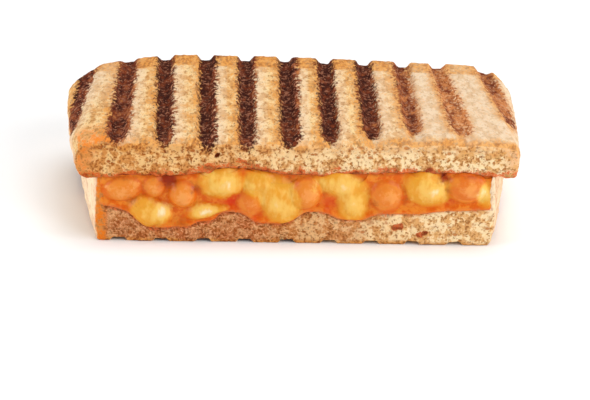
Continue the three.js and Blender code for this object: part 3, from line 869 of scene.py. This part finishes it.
    roughness = 0.85 - 0.25 * stain - 0.1 * burnt
    height = (0.6 * grain + 0.4 * fine - 0.4 * dark) * (0.5 + 0.5 * cut)
    return paint.finish(colour, roughness, height, 0.6)


# The filling: sauce with baked beans in it below, melted cheese above. Whatever shows at the cut is a
# round lump with its middle and half sizes in the plane of the cut.

filling = {
    "endGap": 0.5, "backGap": 7.6, "backRound": 6.0, "frontY": -29.9, "thickness": 9.0, "edge": 0.8,
    "least": 1.3, "inside": 3.4, "bedLeast": 1.6, "gap": 0.3, "rings": [0.9, 0.7, 0.4],
}

# Where cheese hangs at the cut: middle, reach to the left and right, depth below the upper slice,
# and how square the left and right of the fold are
cheeseFolds = rows("x left right depth squareLeft squareRight", [
    (-20.5, 6.3, 6.1, 6.9, 3.5, 3.0),
    (-10.3, 5.2, 5.0, 5.2, 3.0, 4.0),
    (-4.0, 5.5, 5.4, 12.4, 3.5, 3.0),
    (12.4, 6.8, 7.0, 5.2, 2.4, 4.0),
    (15.9, 4.3, 4.0, 11.6, 2.2, 3.5),
    (36.9, 6.9, 4.5, 8.7, 1.7, 3.5),
    (52.4, 1.7, 1.6, 7.6, 3.0, 3.0),
])

# Where the cheese swells out of the cut: middle, half length, half height, tilt, how far it comes out,
# and how pale it is
cheeseSwells = rows("x z long high tilt out pale", [
    (-20.2, 18.2, 6.4, 4.6, 6, 3.0, 0.9),
    (-9.8, 18.0, 6.0, 3.8, -6, 1.9, 0.5),
    (-4.1, 13.2, 6.0, 7.3, 14, 2.6, 0.7),
    (12.4, 18.2, 7.6, 4.0, -4, 2.2, 0.85),
    (15.8, 13.2, 4.7, 6.2, 8, 2.3, 0.75),
    (36.2, 17.2, 6.7, 5.5, -16, 3.0, 0.85),
    (52.4, 15.8, 1.8, 4.4, 0, 1.0, 0.5),
])

# The beans that show: middle, half length, half height, half depth, the length's tilt, how far the bean
# is bent, and how red its coat of sauce is
beans = rows("x y z long high deep tilt bend red", [
    (-47.0, -29.5, 15.9, 5.3, 3.4, 3.2, 12, 0.5, 0.1),
    (-38.6, -29.3, 16.6, 3.1, 3.2, 2.9, 0, 0.1, 0.35),
    (-30.8, -29.6, 14.6, 3.7, 4.0, 3.6, 10, 0.2, 0.0),
    (-12.1, -29.5, 12.4, 3.7, 4.4, 2.9, -12, 0.2, 0.35),
    (3.0, -29.6, 15.4, 4.1, 4.6, 3.6, -12, 0.2, 0.05),
    (25.1, -29.4, 14.9, 4.5, 4.7, 3.3, 16, 0.2, 0.2),
    (46.9, -29.5, 17.7, 5.4, 4.4, 3.7, -4, 0.3, 0.42),
])

# Two lumps of cheese that have sunk to the lower edge of the cut
cheeseLumps = rows("piece node x y z long high deep tilt taper pale", [
    ("cheeseLumpLeft", "cheese_lump_left", -39.6, -29.6, 9.1, 5.7, 4.4, 3.3, -14, 0.0, 0.25),
    ("cheeseLumpMiddle", "cheese_lump_middle", -24.2, -29.8, 9.7, 6.2, 2.8, 3.0, 11, 0.55, 0.9),
])

# Painted shade where the sauce is dark in the crevices between the lumps, where it is bright red, and
# painted highlights where cheese or a bean is palest: middle in the plane of the cut, reach, and how much
shadeSpots = [
    (-34.5, 19.0, 2.6, 1.0), (-27.4, 16.4, 1.8, 0.5), (-44.6, 12.6, 2.0, 0.4), (40.7, 20.9, 1.9, 0.75),
    (41.7, 17.0, 1.4, 0.4), (30.2, 13.4, 1.9, 0.35), (21.9, 12.6, 2.0, 0.35), (-31.0, 5.2, 2.6, 0.45),
    (-1.6, 19.7, 1.4, 0.4), (8.0, 15.0, 1.4, 0.35),
]
brightSpots = [(-17.0, 13.2, 3.6, 1.0), (9.4, 13.0, 2.6, 0.7), (-12.5, 8.6, 2.6, 0.7), (42.6, 14.6, 2.2, 0.6)]
highlightSpots = [
    (-36.5, 9.9, 2.2, 1.5), (-41.5, 9.6, 3.0, 0.12), (-25.0, 10.4, 2.4, 0.5), (-17.4, 18.0, 3.0, 0.4),
    (38.4, 17.4, 2.4, 0.4), (11.8, 17.8, 2.6, 0.1), (-6.6, 11.6, 2.2, 0.45), (-2.0, 9.9, 2.4, 0.2),
    (50.0, 17.0, 2.4, 1.1), (-29.8, 14.2, 2.2, 0.8), (5.0, 16.0, 2.0, 0.7), (-37.0, 16.6, 1.6, 0.7),
    (-43.6, 17.6, 1.9, 0.8), (27.4, 15.0, 1.8, 0.6), (-51.2, 16.4, 1.1, 0.9), (-47.6, 14.4, 1.6, 0.5),
    (17.6, 11.6, 2.0, 0.3),
]

# What a user may change on the filling
fillingLook = {
    "sauceLevel": 0.7,      # how far the sauce's face stands out between the lumps
    "sauceLumps": 0.3,      # and how uneven it is
    "sauceSkin": 0.08,      # the unevenness of its skin
    "sauceLap": 0.7,        # how far more it stands out where it laps over the lower crumb
    "sauceReach": 1.09,     # how far its coat reaches over a lump, as a share of the lump's size
    "sauceBare": 0.3,       # how far the middle of a lump stands out of the coat
    "cheeseRipple": 0.24,   # the drape lines on the melted cheese
    "cheeseSkin": 0.1,      # the slow unevenness of its skin
    "cheeseUneven": 0.75,   # how far the outline of the cheese wanders
    "cheeseFlow": 0.75,     # how softly a swell of cheese falls away: 0.5 is a round dome
    "beanWrinkle": 0.022,   # the unevenness of a bean's skin, as a share of its size
    "lumpWrinkle": 0.06,    # and of a cheese lump's
}


def cheeseHang(x):
    # how far cheese hangs at the cut: the deepest of the folds, each with a round lower edge
    deepest = np.zeros_like(x)
    for fold in cheeseFolds:
        left = x < fold["x"]
        t = np.abs(x - fold["x"]) / np.where(left, fold["left"], fold["right"])
        square = np.where(left, fold["squareLeft"], fold["squareRight"])
        deepest = np.maximum(deepest, fold["depth"] * np.sqrt(held(1.0 - t ** square)))
    return deepest


def seam(x, y):
    # where beans end and cheese begins
    inside = filling["inside"] + 0.5 * np.sin(0.23 * x) * np.sin(0.2 * y + 0.6)
    cheese = filling["least"] + mix(inside, cheeseHang(x), nearCut(y, 8.0))
    return np.maximum(ceiling(x, y) - cheese, hollow(x, y) + filling["bedLeast"] * ramp(-8.0, 0.0, y) + 0.4)


def placesAt(x, z):
    # places in the plane of the cut: as they are, for the even outlines of beans, and moved a little by
    # slow noise, for the wandering ones of cheese
    spot = place(x, 0.0, z)
    uneven = fillingLook["cheeseUneven"]
    wandering = (x + uneven * noise(spot, 4.2, 231, 2), z + uneven * noise(spot, 4.2, 235, 2))
    return {"even": (x, z), "wandering": wandering}


def reachOf(lump, places):
    # 0 at the middle of a lump, 1 at its outline in the plane of the cut; a taper narrows its +X end
    angle = math.radians(lump["tilt"])
    x, z = places["wandering" if "pale" in lump else "even"]
    along = ((x - lump["x"]) * math.cos(angle) + (z - lump["z"]) * math.sin(angle)) / lump["long"]
    over = ((z - lump["z"]) * math.cos(angle) - (x - lump["x"]) * math.sin(angle)) / lump["high"]
    width = 1.0 - lump.get("taper", 0.0) * ramp(-0.6, 1.0, along)
    return np.hypot(along, over / width)


def standsOut(lump):
    # how far a lump's middle stands out of the face of the filling
    return lump["out"] if "out" in lump else lump["deep"] + filling["frontY"] - lump["y"]


def domes(lumps, x, z, reach, less):
    # domes over the lumps' outlines, grown by reach and lower by less, round on beans and softer on
    # cheese, and joined smoothly: the fourth root of the sum of their fourth powers
    total = np.zeros_like(x)
    places = placesAt(x, z)
    for lump in lumps:
        power = fillingLook["cheeseFlow"] if "out" in lump else 0.5
        fall = held(1.0 - (reachOf(lump, places) / reach) ** 2) ** power
        total += ((standsOut(lump) - less) * fall) ** 4
    return total ** 0.25


def inLumps(lumps, places):
    # about how many mm a place lies inside the outline of the nearest of these; negative outside
    return np.max([(1.0 - reachOf(lump, places)) * min(lump["long"], lump["high"]) for lump in lumps], axis=0)


def spotsAt(places, x, z):
    # soft round spots, each strongest at its middle
    return np.max([
        share * hill(np.hypot(x - middleX, z - middleZ), 0.0, reach)
        for middleX, middleZ, reach, share in places
    ], axis=0)


def fillingFields(points):
    # what lies where in the plane of the cut, for the finish of all that shows there
    x, y, z = points.T
    places = placesAt(x, z)
    cheeses = cheeseSwells + cheeseLumps
    pale = np.max([lump["pale"] * (1.0 - reachOf(lump, places)) for lump in cheeses], axis=0)
    inCheese = inLumps(cheeses, places)
    # painted shade just under the upper slice, where no cheese lies
    under = hill(z, ceiling(x, y) - 0.1, 0.9) * ramp(1.0, -0.5, inCheese)
    return {
        "inBean": inLumps(beans, places),
        "inCheese": inCheese,
        # each lump's own paleness, plus the painted highlights on cheese and beans
        "pale": held(pale) + spotsAt(highlightSpots, x, z),
        "red": np.max([bean["red"] * ramp(1.2, 0.8, reachOf(bean, places)) for bean in beans], axis=0),
        "dark": np.maximum(spotsAt(shadeSpots, x, z), 0.35 * under),
        "bright": spotsAt(brightSpots, x, z),
        "edge": ramp(1.0, -0.8, z - hollow(x, y)) * nearCut(y, 4.0),
    }


def layerSurface(steps, low, high, front):
    # a layer of the filling, front to back: x along the cut, low and high surfaces, and front, which
    # says how far each point of the face stands out of the cut
    left = bottomBread["endLeft"] + filling["endGap"]
    right = bottomBread["endRight"] - filling["endGap"]
    back = bottomBread["backY"] - filling["backGap"]
    depths = 1.0 - 2.0 * np.linspace(0.0, 1.0, steps[2] + 1) ** 1.6
    box, quads, fan = boxSurface(spots(steps[0]), spots(steps[1]), depths, filling["rings"])
    box = place(box[:, 0], -box[:, 2], box[:, 1])
    size = (right - left, back - filling["frontY"], filling["thickness"])
    across, deep, up = roundedShares(box, size, lambda share: np.full(len(share), filling["edge"]))
    x = mix(left, right, (across + 1.0) / 2.0)
    planY = mix(filling["frontY"], back - filling["backRound"] * np.abs(across) ** 8, deep)
    z = mix(low(x, planY), high(x, planY), up)
    return facingOut(place(x, planY - front(x, z) * (1.0 - deep) ** 6, z), quads, fan)


def saucePiece(finish):
    # a sheet of sauce from the hollow up past the seam, which fills the whole height at the cut
    def face(x, z):
        # its own level between the lumps, joined by fourth powers to the coat over the lumps
        level = fillingLook["sauceLevel"] + fillingLook["sauceLumps"] * noise(place(x, 0.0, z), 3.0, 171, 3)
        level = level + fillingLook["sauceLap"] * hill(z, hollow(x, filling["frontY"]), 1.3)
        lumps = beans + cheeseLumps + cheeseSwells
        coat = domes(lumps, x, z, fillingLook["sauceReach"], fillingLook["sauceBare"])
        return (level ** 4 + coat ** 4) ** 0.25

    def high(x, y):
        # past the seam inside, and into the upper slice at the cut
        inside = np.minimum(seam(x, y) + 4.0, ceiling(x, y) - 0.4)
        return mix(inside, ceiling(x, y) + 1.4, nearCut(y, 2.0))

    points, quads, fan = layerSurface(
        (420, 64, 30), lambda x, y: hollow(x, y) - mix(0.1, 1.1, nearCut(y, 2.0)), high, face)
    out = outward(points, quads, fan)
    points = points + out * (fillingLook["sauceSkin"] * noise(points, 1.2, 181, 2))[:, None]
    fields = fillingFields(points)
    makePiece("tomatoSauce", (points, quads, fan), finish, "bean_filling", fields)


def drawnOut(lump, points, skin):
    # a unit ball drawn out to a lump's half sizes, with an uneven skin
    return points * skin[:, None] * np.array([lump["long"], lump["deep"], lump["high"]])


def seated(lump, points):
    # turned about Y, so that a positive tilt raises the +X end, and moved to the lump's middle
    angle = math.radians(lump["tilt"])
    x, y, z = points.T
    turned = place(x * math.cos(angle) - z * math.sin(angle), y, x * math.sin(angle) + z * math.cos(angle))
    return turned + np.array([lump["x"], lump["y"], lump["z"]])


def beanPieces(finish):
    # each bean is a ball drawn out, a little square in section, and bent like a kidney
    surfaces = []
    for number, bean in enumerate(beans):
        ball, quads, caps = ballSurface(56, 40)
        long = ball[:, 0] ** 2
        skin = 1.0 + fillingLook["beanWrinkle"] * noise(ball + 7.0 * number, 0.8, 191 + number, 2)
        shaped = drawnOut(bean, ball, (1.0 + 0.05 * long * (1.0 - long)) * skin)
        shaped[:, 2] -= bean["bend"] * (long - 0.4)
        surfaces.append(facingOut(seated(bean, shaped), quads, caps))
    surface = joined(surfaces)
    makePiece("bakedBeans", surface, finish, "bean_filling", fillingFields(surface[0]))


def cheesePiece(finish):
    # the layer of cheese from the seam to the upper slice, with its swells and drape lines
    points, quads, fan = layerSurface(
        (440, 60, 26),
        lambda x, y: seam(x, y) + filling["gap"] / 2.0,
        lambda x, y: ceiling(x, y) + mix(-filling["gap"], 1.5, nearCut(y, 2.0)),
        lambda x, z: np.maximum(domes(cheeseSwells, x, z, 1.0, 0.0), 0.15))
    out = outward(points, quads, fan)
    ripple = fillingLook["cheeseRipple"] * noise(points * (1.0, 1.0, 0.3), 1.9, 211, 2)
    ripple += fillingLook["cheeseSkin"] * noise(points, 3.0, 221, 2)
    points = points + out * ripple[:, None]
    fields = fillingFields(points)
    makePiece("meltedCheese", (points, quads, fan), finish, "cheese_layer", fields)


def cheeseLumpPiece(lump, finish):
    # a ball drawn out to the lump's half sizes, thinned towards its +X end by the taper
    ball, quads, caps = ballSurface(72, 52)
    skin = 1.0 + fillingLook["lumpWrinkle"] * noise(ball + lump["x"], 0.9, 241, 2)
    shaped = drawnOut(lump, ball, skin)
    shaped[:, 1:] *= (1.0 - lump["taper"] * ramp(-0.6, 1.0, ball[:, 0]))[:, None]
    placed = seated(lump, shaped)
    surface = facingOut(placed, quads, caps)
    makePiece(lump["piece"], surface, finish, lump["node"], fillingFields(placed))


fillingTones = {
    "sauce": (214, 96, 8),
    "sauceLight": (228, 134, 40),
    "sauceBright": (210, 52, 0),
    "sauceShade": (146, 40, 0),
    "sauceEdge": (206, 118, 62),
    "beanRim": (212, 102, 24),
    "bean": (224, 132, 46),
    "beanPale": (232, 152, 76),
    "beanRed": (210, 84, 14),
    "cheeseRim": (218, 122, 22),
    "cheese": (226, 156, 48),
    "cheesePale": (236, 188, 92),
    "cheeseHighlight": (242, 220, 176),
}

wetShader = {
    "Subsurface Weight": 0.25,
    "Subsurface Scale": 0.8 * mm,
    "Subsurface Radius": (1.0, 0.45, 0.2),
    "Coat Weight": 0.24,
    "Coat Roughness": 0.28,
    "Specular IOR Level": 0.05,
    "IOR": 1.4,
}


def fillingFinish(name, roughness, bumpMm):
    # one rule for the colour of all that shows at the cut, so that sauce, beans and cheese run into
    # each other; roughness and bumps differ
    paint = Paint(name, wetShader, fillingTones)
    blend = paint.blend
    rise = paint.rise
    slow = paint.noise(0.3, 2.0, 0.5)
    fine = paint.noise(1.0, 3.0, 0.6)
    strands = paint.noise(0.7, 3.0, 0.6, paint.stretched(1.0, 1.0, 0.4))
    stray = 1.6 * (slow - 0.5) + 1.2 * (fine - 0.5)
    pale = paint.field("pale")
    sauce = blend(rise(0.6 * slow + 0.4 * fine, 0.43, 0.58), "sauce", "sauceLight")
    sauce = blend(paint.field("bright"), sauce, "sauceBright")

    inBean = paint.field("inBean") + stray
    bean = blend(rise(inBean, -0.1, 1.0), "beanRim", "bean")
    # paler at the painted highlights, and a little towards a bean's middle
    bean = blend(rise(0.3 * inBean + pale + 2.0 * (fine - 0.5), 0.5, 1.3), bean, "beanPale")
    bean = blend(paint.field("red") * rise(slow, 0.62, 0.40), bean, "beanRed")
    colour = blend(rise(inBean, -0.6, 0.3), sauce, bean)

    inCheese = paint.field("inCheese") + stray
    paler = pale + 1.2 * (slow - 0.5) + 1.3 * (strands - 0.5)
    cheese = blend(rise(inCheese, -0.3, 1.2), "cheeseRim", "cheese")
    # paler towards the middles of the pale lumps, and near white at the painted highlights
    cheese = blend(rise(paler, 0.1, 0.75), cheese, "cheesePale")
    cheese = blend(rise(paler, 0.8, 1.5), cheese, "cheeseHighlight")
    colour = blend(rise(inCheese, -0.8, 0.4), colour, cheese)
    # painted shade: darker in the crevices between the lumps and just under the upper slice
    dark = rise(paint.field("dark") + 0.8 * (fine - 0.5), 0.1, 0.85)
    colour = blend(dark, colour, "sauceShade")
    edge = paint.field("edge") * rise(inCheese, 0.6, -0.4)
    colour = blend(edge * rise(fine, 0.36, 0.56), colour, "sauceEdge")
    return paint.finish(colour, roughness + 0.14 * fine, 0.6 * fine + 0.4 * strands, bumpMm)


# The camera. How the photograph was taken: the picture's size and focal length in pixels, the camera's
# angles, and one point of the toastie with the pixel where it shows
view = {
    "picture": (590, 400),
    "focalPixels": 2320.0,
    "elevation": 25.0,
    "yaw": -2.4,
    "roll": 1.9,
    "distance": 641.0,
    "anchor": (1.2, -31.0, 0.0),
    "anchorPixel": (298.0, 244.0),
    "sensor": 36.0,
}


def makeCamera():
    # its axes from yaw, elevation and roll, and its place from the anchor: back along the line of sight
    # by the distance, and aside by what the anchor's pixel is off the middle of the picture
    up = Vector((0.0, 0.0, 1.0))
    yaw, elevation, roll = (math.radians(view[angle]) for angle in ("yaw", "elevation", "roll"))
    right = Vector((math.cos(yaw), math.sin(yaw), 0.0))
    ahead = Vector((-math.sin(yaw), math.cos(yaw), 0.0))
    forward = ahead * math.cos(elevation) - up * math.sin(elevation)
    upward = ahead * math.sin(elevation) + up * math.cos(elevation)
    rolledRight = right * math.cos(roll) + upward * math.sin(roll)
    rolledUp = upward * math.cos(roll) - right * math.sin(roll)
    perPixel = view["distance"] / view["focalPixels"]
    shiftRight = (view["anchorPixel"][0] - view["picture"][0] / 2) * perPixel
    shiftUp = (view["picture"][1] / 2 - view["anchorPixel"][1]) * perPixel
    spot = Vector(view["anchor"]) - rolledRight * shiftRight - rolledUp * shiftUp - forward * view["distance"]
    data = bpy.data.cameras.new("camera")
    data.sensor_width = view["sensor"]
    data.lens = view["sensor"] * view["focalPixels"] / view["picture"][0]
    data.clip_start = 0.01
    data.clip_end = 20.0
    camera = linked("camera", data)
    axes = Matrix((rolledRight, rolledUp, -forward)).transposed()
    camera.matrix_world = Matrix.Translation(spot * mm) @ axes.to_4x4()
    bpy.context.scene.camera = camera


# The studio: an even white surround, soft boxes with their place, size in mm and watts, and a floor
studio = {
    "surround": 0.38,
    "boxes": rows("name from size watts", [
        ("keyBox", (430.0, -560.0, 560.0), (380.0, 380.0), 2.1),
        ("rightBox", (820.0, -270.0, 300.0), (260.0, 320.0), 2.9),
        ("topBox", (160.0, 120.0, 900.0), (600.0, 600.0), 4.2),
        ("leftBox", (-760.0, -180.0, 260.0), (500.0, 400.0), 3.3),
    ]),
    "floorSize": 6000.0,
    "floorShader": {"Specular IOR Level": 0.1, "Roughness": 0.9},
    "floorTones": {"floor": (250, 250, 250), "floorLight": (252, 252, 252)},
}


def makeLight():
    # the surround, and the soft boxes turned towards the origin
    world = bpy.data.worlds.new("studio")
    world.use_nodes = True
    background = world.node_tree.nodes["Background"]
    background.inputs["Color"].default_value = (1.0, 1.0, 1.0, 1.0)
    background.inputs["Strength"].default_value = studio["surround"]
    bpy.context.scene.world = world
    for box in studio["boxes"]:
        data = bpy.data.lights.new(box["name"], "AREA")
        data.shape = "RECTANGLE"
        data.size = box["size"][0] * mm
        data.size_y = box["size"][1] * mm
        data.energy = box["watts"]
        spot = Vector(box["from"]) * mm
        turn = (-spot).to_track_quat("-Z", "Y").to_matrix().to_4x4()
        linked(box["name"], data).matrix_world = Matrix.Translation(spot) @ turn


def makeFloor():
    # one pale square
    half = studio["floorSize"] * mm / 2.0
    mesh = bpy.data.meshes.new("floor")
    corners = [(-half, -half, 0.0), (half, -half, 0.0), (half, half, 0.0), (-half, half, 0.0)]
    mesh.from_pydata(corners, [], [(0, 1, 2, 3)])
    floor = linked("floor", mesh)
    paint = Paint("paleFloor", studio["floorShader"], studio["floorTones"])
    mesh.materials.append(paint.finish(paint.blend(paint.noise(0.004, 2.0, 0.5), "floor", "floorLight")))


makeCamera()
makeLight()
makeFloor()
bpy.context.scene.view_settings.view_transform = "Standard"
print("camera, light and floor are in place")

breadFinish = toastedBreadFinish()
topSlicePiece(breadFinish)
lowerSlicePiece(breadFinish)
print("both slices are made")

saucePiece(fillingFinish("tomatoSauce", 0.22, 0.12))
beanPieces(fillingFinish("beanSkin", 0.28, 0.05))
cheeseFinish = fillingFinish("meltedCheese", 0.26, 0.08)
cheesePiece(cheeseFinish)
for cheeseLump in cheeseLumps:
    cheeseLumpPiece(cheeseLump, cheeseFinish)
print("the filling is made")
